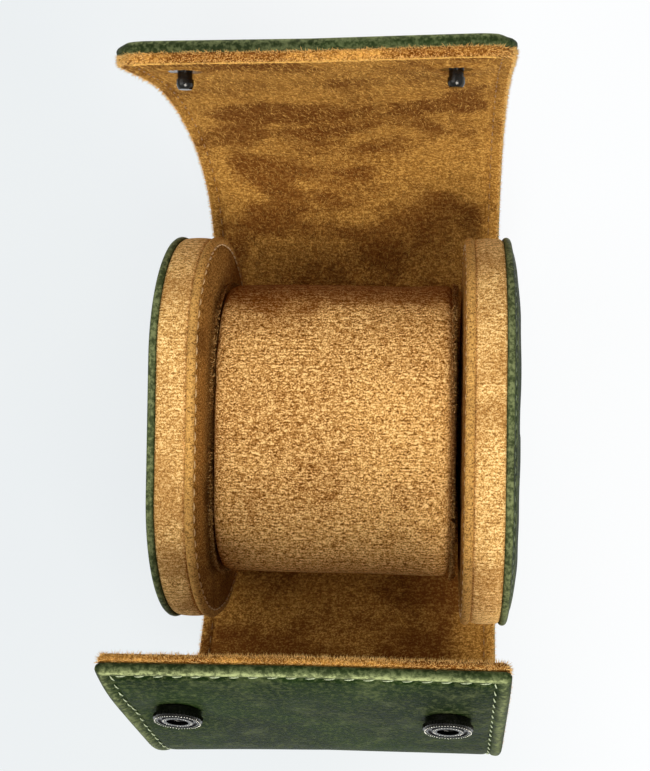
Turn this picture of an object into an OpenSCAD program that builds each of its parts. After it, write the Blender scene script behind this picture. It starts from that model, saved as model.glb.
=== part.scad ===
// Travel case for one watch: two oval suede-lined end panels stand on a leather wrap, whose far
// and near flaps close over the top with two snaps, and a lift-out cushion sits between the ends.
// Millimetres. X runs from end panel to end panel, Y from the near flap to the far flap, Z is up.
// The origin is the middle of the flat underside on which the case stands.

/* [End panels] */
// Width of the case over the leather edges of both end panels
case_w = 81.4; // [72:0.2:100]
// Length of an end panel, front to back
end_l = 95.2; // [89:0.2:100]
// Height of an end panel
end_h = 67; // [60:1:74]
// Corner radius of an end panel's outline, as a share of half its height
end_roundness = 0.955; // [0.8:0.005:1]
// Thickness of the leather edge of an end panel
edge_t = 1.9; // [1.4:0.1:2.6]
// Rise of the padded outer face over the leather edge
crown_h = 1.8; // [0.8:0.1:2.5]
// Width of the padded rim over which the outer face rises
crown_w = 11; // [8:1:16]
// Depth of the sewn groove between the rolled edge and the padded face
seam_depth = 0.35; // [0.2:0.05:0.6]
// Width of the suede gusset round the foam core
gusset_w = 6.8; // [5:0.1:9]
// Thickness of the gusset's suede
suede_t = 0.9; // [0.6:0.1:1.4]
// How far the gusset stays inside the outline
gusset_inset = 0.3; // [0.1:0.1:0.8]
// Thickness of the inner panel
inner_t = 2.4; // [1.8:0.1:3]
// Thickness of the leather skin of an end panel
skin_t = 0.9; // [0.6:0.1:1.2]
// Thickness of the stiff board under the padding
board_t = 0.9; // [0.6:0.1:1.4]

/* [Wrap] */
// Width of the wrap, a little less than over the end panels
wrap_w = 80; // [70:1:98]
// Thickness of the outer leather
leather_t = 1.7; // [1.4:0.1:2]
// Thickness of the suede lining with its backing
lining_t = 1.7; // [1.4:0.1:2]
// How far the lining stays back from the leather's side edges
lining_inset = 0.4; // [0.2:0.1:1]
// Distance from the middle of the base to the first bend of each flap
base_half = 20; // [16:1:22]
// Thickness of the stiff board inside the base
base_board_t = 0.9; // [0.6:0.1:1.2]
// How far that board stays back from the edges of the base
base_board_inset = 3; // [2:0.5:6]
// Gap between two panels at a bend
bend_gap = 0.1; // [0.06:0.01:0.2]
// Angle cut back from each panel's end towards both faces, so that it can bend
bend_relief = 16; // [15:1:20]

/* [Far flap] */
// Lengths of the far flap's panels 1 to 6, from the base to the free edge
far_len_1 = 17; // [14:0.5:20]
far_len_2 = 33; // [30:0.5:38]
far_len_3 = 19.5; // [16:0.5:24]
far_len_4 = 27.5; // [23:0.5:31]
far_len_5 = 20; // [18:0.5:25]
far_len_6 = 27; // [25:0.5:32]
// Degrees by which each of panels 1 to 5 curls from end to end as it stands open
far_angle_1 = 1.5; // [0:0.5:8]
far_angle_2 = 51; // [44:1:56]
far_angle_3 = 21; // [14:0.5:24]
far_angle_4 = 14; // [10:1:20]
far_angle_5 = 11; // [6:0.5:16]
// Corner radius of the far flap's free edge
far_corner_r = 8; // [4:0.5:12]

/* [Near flap] */
// Lengths of the near flap's panels 1 to 4, from the base to the free edge
near_len_1 = 16; // [14:0.5:20]
near_len_2 = 25; // [22:0.5:29]
// The third panel, which keeps a deep curl, has a lower and an upper stretch
near_len_3_low = 27.5; // [24:0.5:31]
near_len_3_high = 31.5; // [28:0.5:35]
// The fourth is flat under the snaps and curls at its tip
near_len_4_flat = 33; // [30:0.5:36]
near_len_4_tip = 15; // [12:0.5:18]
// Degrees by which each stretch curls
near_angle_1 = 16.5; // [12:0.5:21]
near_angle_2 = 17; // [12:1:21]
near_angle_3_low = 44.5; // [38:0.5:49]
near_angle_3_high = 42; // [36:1:47]
near_angle_4_tip = 10; // [6:1:14]
// Corner radius of the near flap's free edge
near_corner_r = 1.5; // [0.5:0.5:6]

/* [Snaps] */
// Distance between the two snaps
snap_pitch = 56; // [50:1:62]
// Distance from the far flap's free edge to the studs
stud_edge = 15; // [11:0.5:17]
// Distance from the near flap's free edge to the sockets
socket_edge = 25; // [22:0.5:28]
// Diameter of a socket's knurled rim
socket_d = 10.4; // [9:0.1:12]
// Height of a socket over the leather
socket_h = 2.4; // [2:0.1:2.8]
// Diameter of the hole that takes the stud
socket_hole_d = 4.6; // [4.4:0.1:5]
// Ridges round a socket's rim
knurl_count = 40; // [20:2:48]
// Diameter of a stud's head
stud_d = 3.6; // [3.2:0.1:3.8]
// Length of a stud over its flange
stud_l = 3.6; // [3:0.1:3.8]
// Diameter of a stud's flange
flange_d = 8.4; // [7:0.1:9.5]
// Diameter of the domed cap behind a stud
cap_d = 9; // [7.5:0.1:10]

/* [Cushion] */
// Gap between the cushion and each end panel
cushion_side_gap = 1.8; // [1:0.1:2.5]
// Length of the cushion, front to back
cushion_l = 69.5; // [64:0.5:74]
// Height of the cushion
cushion_h = 57; // [50:1:60]
// Gap between the cushion and the lining under it
cushion_seat_gap = 0.3; // [0.2:0.05:0.6]
// Radius of the sewn edge round each end of the cushion
cushion_edge_r = 2.4; // [1.6:0.2:5]
// How far the cushion bulges in the middle of its width
cushion_crown = 0.9; // [0.4:0.1:1.5]
// How far the foam core stays inside the suede sleeve
cushion_sleeve_t = 2.6; // [2:0.1:4]

/* [Hidden] */
$fn = 64;
FAR_PANELS = 6;
NEAR_PANELS = 4;
SIDES = ["left", "right"];
function numbered(name, count) = [for (i = [1 : count]) str(name, i)];

leather_colour = "#2f4a30";
suede_colour = "#a8702f";
board_colour = "#8a7a60";
foam_colour = "#e6ddc8";
metal_colour = "#3a3836";

wrap_t = leather_t + lining_t;
end_t = edge_t + gusset_w + inner_t;
inner_half = case_w / 2 - end_t;
lining_half = wrap_w / 2 - lining_inset;
oval_r = end_roundness * end_h / 2;
ARC_STEPS = 8;
FULL_TURN = 360;
HALF_TURN = FULL_TURN / 2;
QUARTER_TURN = FULL_TURN / 4;
eps = 0.01;

// ---- the wrap's profile -----------------------------------------------------------------
// A state is [y, z, heading] on the face between leather and lining. A stretch is
// [length, curl], and a panel is a list of stretches.

function along(s, length, curl) =
    curl == 0
        ? [s[0] + length * cos(s[2]), s[1] + length * sin(s[2]), s[2]]
        : let (r = length * HALF_TURN / (PI * curl), h = s[2] + curl)
          [s[0] + r * (sin(h) - sin(s[2])), s[1] - r * (cos(h) - cos(s[2])), h];

function past(s, stretches, n) = n == 0 ? s : along(past(s, stretches, n - 1),
    stretches[n - 1][0], stretches[n - 1][1]);

flap_start = [base_half, leather_t, 0];
far_flap = [
    [[far_len_1, far_angle_1]],
    [[far_len_2, far_angle_2]],
    [[far_len_3, far_angle_3]],
    [[far_len_4, far_angle_4]],
    [[far_len_5, far_angle_5]],
    [[far_len_6, 0]]
];
near_flap = [
    [[near_len_1, near_angle_1]],
    [[near_len_2, near_angle_2]],
    [[near_len_3_low, near_angle_3_low], [near_len_3_high, near_angle_3_high]],
    [[near_len_4_flat, 0], [near_len_4_tip, near_angle_4_tip]]
];

function panel_start(flap, i) =
    i == 1 ? flap_start : past(panel_start(flap, i - 1), flap[i - 2], len(flap[i - 2]));
function flap_end(flap) = past(panel_start(flap, len(flap)), flap[len(flap) - 1],
    len(flap[len(flap) - 1]));

// A point beside the state s, on its inner side where offset is positive
function beside(s, offset) = [s[0] - offset * sin(s[2]), s[1] + offset * cos(s[2])];

// The states along a panel, cut back at both ends by trim
function panel_line(s, stretches, trim) = [
    for (k = [0 : len(stretches) - 1])
        let (
            from = past(s, stretches, k),
            length = stretches[k][0],
            curl = stretches[k][1],
            a = k == 0 ? trim : 0,
            b = k == len(stretches) - 1 ? length - trim : length
        )
        for (i = [(k == 0 ? 0 : 1) : ARC_STEPS])
            let (d = a + (b - a) * i / ARC_STEPS)
            along(from, d, curl * d / length)
];

function reversed(list) = [for (i = [len(list) - 1 : -1 : 0]) list[i]];

// One layer of a panel, from the face between the layers out to offset
module panel_layer(flap, i, offset, half_w) {
    s = panel_start(flap, i);
    last = i == len(flap);
    inner = panel_line(s, flap[i - 1], bend_gap / 2);
    outer = panel_line(s, flap[i - 1], bend_gap / 2 + abs(offset) * tan(bend_relief));
    tip = beside(flap_end(flap), offset);
    // the free edge is square, so the outer line runs on to it
    outline = concat(
        [for (p = inner) beside(p, 0)],
        last ? [tip] : [],
        reversed([for (p = outer) beside(p, offset)])
    );
    rotate([90, 0, 90])
        translate([0, 0, -half_w])
            linear_extrude(2 * half_w) polygon(outline);
}

// Puts children at the state s with their x along X, y along the wrap and z to its inner side
module at_state(s) {
    translate([0, s[0], s[1]]) rotate([s[2], 0, 0]) children();
}

// What the free edge of a flap is cut to: square sides and two rounded corners
module free_edge_mask(flap, reach, half_w, corner_r) {
    at_state(flap_end(flap))
        translate([0, 0, -reach])
            linear_extrude(2 * reach) {
                translate([-half_w, -reach]) square([2 * half_w, reach - corner_r]);
                translate([corner_r - half_w, -reach])
                    square([2 * (half_w - corner_r), reach]);
                for (side = [-1, 1])
                    translate([side * (half_w - corner_r), -corner_r]) circle(corner_r);
            }
}

// ---- the snaps' places -------------------------------------------------------------------
stud_state = past(panel_start(far_flap, FAR_PANELS), [[far_len_6 - stud_edge, 0]], 1);
near_tip_start = panel_start(near_flap, NEAR_PANELS);
socket_state = past(near_tip_start,
    [[near_len_4_flat + near_len_4_tip - socket_edge, 0]], 1);

module at_studs() {
    at_state(stud_state) snap_pair() children();
}

module at_sockets() {
    mirror([0, 1, 0]) at_state(socket_state) snap_pair() children();
}

module snap_pair() {
    for (side = [-1, 1]) translate([side * snap_pitch / 2, 0, 0]) children();
}

// ---- the wrap ------------------------------------------------------------------------------
module base_leather() {
    color(leather_colour)
        translate([-wrap_w / 2, -base_half, 0]) cube([wrap_w, 2 * base_half, leather_t]);
}

board_half_x = wrap_w / 2 - base_board_inset;
board_half_y = base_half - base_board_inset;

module base_lining() {
    color(suede_colour) difference() {
        translate([-lining_half, -base_half, leather_t])
            cube([2 * lining_half, 2 * base_half, lining_t]);
        translate([-board_half_x, -board_half_y, leather_t - eps])
            cube([2 * board_half_x, 2 * board_half_y, base_board_t + eps]);
    }
}

module base_board() {
    color(board_colour)
        translate([-board_half_x, -board_half_y, leather_t])
            cube([2 * board_half_x, 2 * board_half_y, base_board_t]);
}

module far_leather(i) {
    color(leather_colour) difference() {
        if (i < FAR_PANELS) {
            panel_layer(far_flap, i, -leather_t, wrap_w / 2);
        } else intersection() {
            panel_layer(far_flap, i, -leather_t, wrap_w / 2);
            free_edge_mask(far_flap, far_len_6 + wrap_t, wrap_w / 2, far_corner_r);
        }
        if (i == FAR_PANELS) at_studs() cylinder(h = 4 * wrap_t, d = rivet_hole_d, center = true);
    }
}

module far_lining(i) {
    color(suede_colour) difference() {
        if (i < FAR_PANELS) {
            panel_layer(far_flap, i, lining_t, lining_half);
        } else intersection() {
            panel_layer(far_flap, i, lining_t, lining_half);
            free_edge_mask(far_flap, far_len_6 + wrap_t, lining_half, far_corner_r);
        }
        if (i == FAR_PANELS) at_studs() {
            cylinder(h = 4 * wrap_t, d = rivet_hole_d, center = true);
            translate([0, 0, lining_t - flange_sink]) cylinder(h = wrap_t, d = flange_d + 2 * fit);
        }
    }
}

module near_leather(i) {
    color(leather_colour) mirror([0, 1, 0]) difference() {
        if (i < NEAR_PANELS) {
            panel_layer(near_flap, i, -leather_t, wrap_w / 2);
        } else intersection() {
            panel_layer(near_flap, i, -leather_t, wrap_w / 2);
            free_edge_mask(near_flap, near_len_4_flat + near_len_4_tip + wrap_t,
                wrap_w / 2, near_corner_r);
        }
        if (i == NEAR_PANELS) at_state(socket_state) snap_pair()
            cylinder(h = 4 * wrap_t, d = tube_d + 2 * fit, center = true);
    }
}

module near_lining(i) {
    color(suede_colour) mirror([0, 1, 0]) difference() {
        if (i < NEAR_PANELS) {
            panel_layer(near_flap, i, lining_t, lining_half);
        } else intersection() {
            panel_layer(near_flap, i, lining_t, lining_half);
            free_edge_mask(near_flap, near_len_4_flat + near_len_4_tip + wrap_t,
                lining_half, near_corner_r);
        }
        if (i == NEAR_PANELS) at_state(socket_state) snap_pair() {
            cylinder(h = 4 * wrap_t, d = tube_d + 2 * fit, center = true);
            translate([0, 0, lining_t - back_t]) cylinder(h = wrap_t, d = back_d + 2 * fit);
        }
    }
}

// ---- the end panels -------------------------------------------------------------------------
// They stand on the lining. Each is drawn with its thickness along +Z from its inner face, and
// its outline in the XY plane, and then turned to its side of the case.

module oval(inset) {
    r = oval_r - inset;
    half_l = end_l / 2 - oval_r;
    half_h = end_h / 2 - oval_r;
    square([2 * half_l, end_h - 2 * inset], center = true);
    square([end_l - 2 * inset, 2 * half_h], center = true);
    for (x = [-half_l, half_l], y = [-half_h, half_h]) translate([x, y]) circle(r);
}

// Sweeps a profile round the oval. The profile's x is the distance out from the outline, and
// its y is the height over the panel.
module round_the_oval() {
    half_l = end_l / 2 - oval_r;
    half_h = end_h / 2 - oval_r;
    for (quarter = [[1, 1, 0], [-1, 1, 90], [-1, -1, 180], [1, -1, 270]])
        translate([quarter[0] * half_l, quarter[1] * half_h, 0])
            rotate(quarter[2]) rotate_extrude(angle = 90) translate([oval_r, 0]) children();
    for (turn = [0, 180]) rotate(turn) {
        if (half_h > 0) straight(half_l + oval_r, half_h) children();
        rotate(90) straight(half_h + oval_r, half_l) children();
    }
}

module straight(out, half) {
    translate([out, half, 0]) rotate([90, 0, 0]) linear_extrude(2 * half) children();
}

// Turns a panel upright at the left end, or at the right end as its mirror image
module at_end(side) {
    mirror([side == "left" ? 1 : 0, 0, 0])
        translate([inner_half, 0, wrap_t + end_h / 2])
            rotate([90, 0, 90]) children();
}

board_z = inner_t + gusset_w;
CROWN_STEPS = 8;
SEAM_AT = 1.1;
pad_reach = 2;

// Rise of the padded face from the bottom of the sewn groove, at a distance in from it
seam_inset = edge_t * SEAM_AT;
function crown_at(d) = (crown_h + seam_depth) * sin(QUARTER_TURN * d / (crown_w - seam_inset));
crown_line = [for (i = [0 : CROWN_STEPS])
    let (d = (crown_w - seam_inset) * i / CROWN_STEPS)
    [-seam_inset - d, edge_t - seam_depth + crown_at(d)]];

module end_cover(side) {
    color(leather_colour) at_end(side) translate([0, 0, board_z]) difference() {
        union() {
            linear_extrude(edge_t + crown_h) oval(crown_w);
            round_the_oval() {
                translate([-edge_t / 2, edge_t / 2]) circle(edge_t / 2);
                polygon(concat([[-edge_t / 2, 0], [-edge_t / 2, edge_t / 2]], crown_line, [[-crown_w, 0]]));
            }
        }
        translate([0, 0, -eps]) linear_extrude(board_t + eps) oval(edge_t);
        end_padding_solid(fit);
    }
}

// The pad fills the cover over the board, and thins out towards the sewn groove
pad_inset = (edge_t + crown_w) / 2 - pad_reach;
module end_padding_solid(grow) {
    rise = edge_t + crown_h - skin_t - board_t;
    translate([0, 0, board_t]) {
        linear_extrude(rise) oval(crown_w);
        linear_extrude(edge_t - skin_t) oval(pad_inset - grow);
    }
}

module end_padding(side) {
    color(foam_colour) at_end(side) translate([0, 0, board_z]) end_padding_solid(0);
}

module end_board(side) {
    color(board_colour) at_end(side)
        translate([0, 0, board_z]) linear_extrude(board_t) oval(edge_t + fit);
}

module end_gusset(side) {
    color(suede_colour) at_end(side) translate([0, 0, inner_t])
        linear_extrude(gusset_w) difference() {
            oval(gusset_inset);
            oval(gusset_inset + suede_t);
        }
}

module end_core(side) {
    color(foam_colour) at_end(side) translate([0, 0, inner_t])
        linear_extrude(gusset_w) oval(gusset_inset + suede_t + fit);
}

module end_inner_panel(side) {
    color(suede_colour) at_end(side) {
        linear_extrude(inner_t) oval(inner_t / 2);
        round_the_oval() translate([-inner_t / 2, inner_t / 2]) circle(inner_t / 2);
    }
}

// ---- the cushion ------------------------------------------------------------------------------
cushion_half_w = inner_half - cushion_side_gap;
cushion_z = wrap_t + cushion_seat_gap + cushion_h / 2;
RING_POINTS = 44;
OVAL_POWER = 2.7;
EDGE_RINGS = 4;
BULGE_RINGS = 8;

function signed_power(v, p) = sign(v) * pow(abs(v), p);

// A ring of the cushion's outline at x, smaller all round by inset
function cushion_ring(x, inset) = [for (i = [0 : RING_POINTS - 1])
    let (t = FULL_TURN * i / RING_POINTS)
    [x,
     (cushion_l / 2 - inset) * signed_power(cos(t), 2 / OVAL_POWER),
     cushion_z + (cushion_h / 2 - inset) * signed_power(sin(t), 2 / OVAL_POWER)]];

// [x, inset] of each ring: the sewn edge is a quarter round, and between the two edges the
// sleeve bulges by cushion_crown
cushion_edge = [for (i = [0 : EDGE_RINGS])
    let (t = QUARTER_TURN * i / EDGE_RINGS)
    [-cushion_half_w + cushion_edge_r * (1 - sin(t)),
     cushion_crown + cushion_edge_r * (1 - cos(t))]];
cushion_flat = cushion_half_w - cushion_edge_r;
cushion_bulge = [for (i = [1 : BULGE_RINGS - 1])
    let (x = -cushion_flat + 2 * cushion_flat * i / BULGE_RINGS)
    [x, cushion_crown * pow(x / cushion_flat, 2)]];
cushion_stations = concat(
    reversed(cushion_edge),
    cushion_bulge,
    [for (s = cushion_edge) [-s[0], s[1]]]
);

module cushion_cover() {
    rings = [for (s = cushion_stations) cushion_ring(s[0], s[1])];
    count = len(rings);
    points = [for (ring = rings, p = ring) p];
    walls = [for (r = [0 : count - 2], i = [0 : RING_POINTS - 1])
        let (
            a = r * RING_POINTS + i,
            b = r * RING_POINTS + (i + 1) % RING_POINTS
        )
        each [[a, b, b + RING_POINTS], [a, b + RING_POINTS, a + RING_POINTS]]];
    caps = [
        [for (i = [RING_POINTS - 1 : -1 : 0]) i],
        [for (i = [0 : RING_POINTS - 1]) (count - 1) * RING_POINTS + i]
    ];
    color(suede_colour) difference() {
        polyhedron(points, concat([for (w = walls) reversed(w)], [for (c = caps) reversed(c)]));
        cushion_core_solid(0);
    }
}

module cushion_core_solid(inset) {
    half_w = cushion_half_w - cushion_sleeve_t - inset;
    r = cushion_h / 3 - inset;
    half_l = cushion_l / 2 - cushion_sleeve_t - inset;
    half_h = cushion_h / 2 - cushion_sleeve_t - inset;
    translate([-half_w, 0, cushion_z]) rotate([90, 0, 90]) linear_extrude(2 * half_w) {
        square([2 * (half_l - r), 2 * half_h], center = true);
        square([2 * half_l, 2 * (half_h - r)], center = true);
        for (x = [-1, 1], y = [-1, 1]) translate([x * (half_l - r), y * (half_h - r)]) circle(r);
    }
}

module cushion_core() {
    color(foam_colour) cushion_core_solid(fit);
}

// ---- the snaps -----------------------------------------------------------------------------
// Drawn at a state of the wrap: z = 0 is the face between leather and lining, and +z is inward.
fit = 0.05;
rivet_hole_d = 3.1;
rivet_d = rivet_hole_d - 2 * fit;
flange_t = 0.8;
flange_sink = 0.7;
tube_d = 6.2;
back_t = 0.5;
back_d = 9;
rim_fillet = 0.45;
rim_h = 0.8;
spring_wire_d = 0.6;
spring_out = 0.35;
spring_ring_r = socket_hole_d / 2 + spring_out;
spring_depth = 0.55;
spring_z = -leather_t - socket_h * spring_depth;
groove_r = spring_ring_r + spring_wire_d / 2 + fit;
groove_h = spring_wire_d + 2 * fit;
ring_d = 6.6;
ring_rise = 0.35;

module socket_cap() {
    top = -leather_t - socket_h;
    difference() {
        union() {
            // smooth skirt under the knurled rim
            translate([0, 0, top + rim_fillet]) cylinder(h = socket_h - rim_fillet,
                d = skirt_d);
            translate([0, 0, top + rim_fillet]) linear_extrude(rim_h) knurl();
            translate([0, 0, top]) cylinder(h = rim_fillet + eps,
                d1 = socket_d - 4 * rim_fillet, d2 = socket_d - 3 * knurl_depth);
            // tube through the wrap, up to the back disc
            translate([0, 0, -leather_t - eps])
                cylinder(h = wrap_t - back_t + eps, d = tube_d);
        }
        // dished face round the raised ring
        translate([0, 0, top - eps]) difference() {
            cylinder(h = ring_rise + eps, d = socket_d - 5 * rim_fillet);
            cylinder(h = 3 * ring_rise, d = ring_d, center = true);
        }
        cylinder(h = 4 * wrap_t + 2 * socket_h, d = socket_hole_d, center = true);
        translate([0, 0, spring_z - groove_h / 2]) cylinder(h = groove_h, r = groove_r);
    }
}

knurl_depth = 0.22;
skirt_d = socket_d - 4 * knurl_depth;

module knurl() {
    polygon([for (i = [0 : 2 * knurl_count - 1])
        let (r = socket_d / 2 - (i % 2) * knurl_depth, t = HALF_TURN * i / knurl_count)
        [r * cos(t), r * sin(t)]]);
}

module socket_caps() {
    color(metal_colour) at_sockets() socket_cap();
}

module socket_springs() {
    color(metal_colour) at_sockets() translate([0, 0, spring_z])
        rotate_extrude() translate([spring_ring_r, 0]) circle(spring_wire_d / 2);
}

module socket_backs() {
    color(metal_colour) at_sockets()
        translate([0, 0, lining_t - back_t]) cylinder(h = back_t, d = back_d);
}

neck_cut = 0.25;
head_share = 0.55;
nose_cut = 0.6;

module stud_post() {
    neck_d = stud_d - 2 * neck_cut;
    head_l = stud_l * head_share;
    base = lining_t - flange_sink;
    neck_l = stud_l - head_l;
    band_l = head_l - stud_d / 2 + nose_cut;
    translate([0, 0, base]) {
        cylinder(h = flange_t, d = flange_d);
        cylinder(h = flange_t + neck_l + eps, d = neck_d);
        // head: a straight band under a round nose
        translate([0, 0, flange_t + neck_l]) {
            cylinder(h = band_l, d = stud_d);
            translate([0, 0, band_l]) intersection() {
                sphere(d = stud_d);
                cylinder(h = stud_d / 2 - nose_cut, d = 2 * stud_d);
            }
        }
    }
    // shank through both layers into the cap
    translate([0, 0, -leather_t]) cylinder(h = base + leather_t + eps, d = rivet_d);
}

module stud_posts() {
    color(metal_colour) at_studs() stud_post();
}

cap_rise = 0.9;

module stud_caps() {
    cap_r = (pow(cap_d / 2, 2) + cap_rise * cap_rise) / (2 * cap_rise);
    color(metal_colour) at_studs() translate([0, 0, -leather_t]) intersection() {
        translate([0, 0, cap_r - cap_rise]) sphere(cap_r, $fn = 128);
        translate([0, 0, -cap_rise]) cylinder(h = cap_rise, d = cap_d);
    }
}

base_leather();
base_lining();
base_board();
for (i = [1 : FAR_PANELS]) {
    far_leather(i);
    far_lining(i);
}
for (i = [1 : NEAR_PANELS]) {
    near_leather(i);
    near_lining(i);
}
for (side = SIDES) {
    end_cover(side);
    end_padding(side);
    end_board(side);
    end_gusset(side);
    end_core(side);
    end_inner_panel(side);
}
cushion_cover();
cushion_core();
socket_caps();
socket_springs();
socket_backs();
stud_posts();
stud_caps();
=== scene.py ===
"""Looks of the watch travel case: leather, suede, stitching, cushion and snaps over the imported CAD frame."""
import math
import random

import bpy
import bmesh
import numpy as np
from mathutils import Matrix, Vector, noise


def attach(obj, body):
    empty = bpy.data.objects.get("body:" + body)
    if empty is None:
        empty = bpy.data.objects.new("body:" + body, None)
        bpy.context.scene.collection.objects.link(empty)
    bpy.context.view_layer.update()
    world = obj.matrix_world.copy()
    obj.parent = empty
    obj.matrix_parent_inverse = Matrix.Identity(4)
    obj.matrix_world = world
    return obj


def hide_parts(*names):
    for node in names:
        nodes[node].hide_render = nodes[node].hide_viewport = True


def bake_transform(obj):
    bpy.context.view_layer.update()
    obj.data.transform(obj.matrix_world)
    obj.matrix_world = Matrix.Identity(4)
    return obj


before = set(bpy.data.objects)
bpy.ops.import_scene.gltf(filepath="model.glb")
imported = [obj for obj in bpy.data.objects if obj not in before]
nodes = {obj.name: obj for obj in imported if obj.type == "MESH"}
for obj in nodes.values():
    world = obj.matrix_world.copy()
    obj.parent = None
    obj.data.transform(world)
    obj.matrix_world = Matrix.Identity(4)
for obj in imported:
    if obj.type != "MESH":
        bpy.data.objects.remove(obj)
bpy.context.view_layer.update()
rng = random.Random(7)

# ---- sizes in millimetres, as in the CAD source ----
MM = 0.001
CASE_W, WRAP_W = 81.4, 80.0
END_L, END_H, END_ROUNDNESS = 95.2, 67.0, 0.955
OVAL_R = END_ROUNDNESS * END_H / 2
EDGE_T, GUSSET_W, INNER_T = 1.9, 6.8, 2.4
CROWN_H, CROWN_W = 1.8, 11.0
LEATHER_T, LINING_T = 1.7, 1.7
WRAP_T = LEATHER_T + LINING_T
BASE_HALF = 20.0
INNER_HALF = CASE_W / 2 - EDGE_T - GUSSET_W - INNER_T
# the flaps' panels from the base to the free edge, each with its stretches' length and bend in degrees
FAR = [[(17, 1.5)], [(33, 51)], [(19.5, 21)], [(27.5, 14)], [(20, 11)], [(27, 0)]]
NEAR = [[(16, 16.5)], [(25, 17)], [(27.5, 44.5), (31.5, 42)], [(33, 0), (15, 10)]]
FAR_CORNER, NEAR_CORNER = 8.0, 1.5
SNAP_PITCH, STUD_EDGE, SOCKET_EDGE = 56.0, 15.0, 25.0
SOCKET_H = 2.4
CUSHION_L, CUSHION_H, CUSHION_GAP, CUSHION_SEAT = 69.5, 57.0, 1.8, 0.3
CUSHION_HALF_W = INNER_HALF - CUSHION_GAP
CUSHION_Z = WRAP_T + CUSHION_SEAT + CUSHION_H / 2

# ---- sizes of the dressing, in millimetres ----
HALF_LEATHER, HALF_LINING = WRAP_W / 2, WRAP_W / 2 - 0.3
STITCH_INSET, STITCH_PITCH, STITCH_L, THREAD_R = 3.0, 3.7, 2.2, 0.14
OVAL_PITCH, COVER_STITCH_AT, INNER_STITCH_AT = 3.2, 2.5, 1.9  # the end panels' stitches and their insets
EDGE_ROUND = 0.95  # how far in a sheet's cut edge is rounded
# the rubbed hems also carry a painted highlight, and the sides take less of it than the free edge, which catches the
# light
HEM_AT, HEM_W, SIDE_RUB_AND_HIGHLIGHT = 1.3, 0.8, 0.35  # where a sheet is rubbed, how broadly, and the sides' share of it
LEAD = 10.0  # how far a flap's first segment reaches into the base
BEND = 6.0  # how far a bend spreads to either side of its line
ROW_STEP, CELLS_ACROSS = 1.2, 36  # a sheet's mesh, along and across
INSETS = [0, 0.06, 0.2, 0.42, 0.75, 1.15, 1.6, 2.05, 2.4, 2.7, 3.0, 3.3, 3.6, 3.95, 4.5, 5.4, 6.8, 8.6, 10.6]
FRINGE_PER_MM, HAIRS_PER_MM2, CUSHION_NAP = 34, 1.3, 3000  # fibres; the last for each edge of the cushion
FRINGE_R, HAIR_R, CUSHION_NAP_R = 0.085, 0.07, 0.075
FRINGE_L, HAIR_L, CUSHION_NAP_L = (0.75, 0.7), (0.8, 0.8), (0.45, 0.5)  # least length, and how much it varies
HAIR_LIE = 0.4  # the angle at which the hairs lie across the flap
SKEW_FROM, SEAT_R = 30.0, 5.3  # a flap is askew from here on, but not this near to a snap
LEAN = {-1: 0.2, 1: 1.2}  # how far each end panel leans outward at its top
OVAL_STEPS, PATH_STEPS = 220, 720  # steps round an end panel, for its sheets and for its stitches
PROUD_W, PROUD_L = (1.1, 1.2), 1.5  # how far the sleeve's nap stands proud of the solid: left, right, ends
CUSHION_MID, CUSHION_REACH = (PROUD_W[1] - PROUD_W[0]) / 2, CUSHION_HALF_W + sum(PROUD_W) / 2
TINY, SLIT = 1e-6, 2e-5


def smooth(t):
    t = min(1.0, max(0.0, t))
    return t * t * (3 - 2 * t)


def bell(d, middle, width):
    return math.exp(-((d - middle) / width) ** 2)


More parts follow.
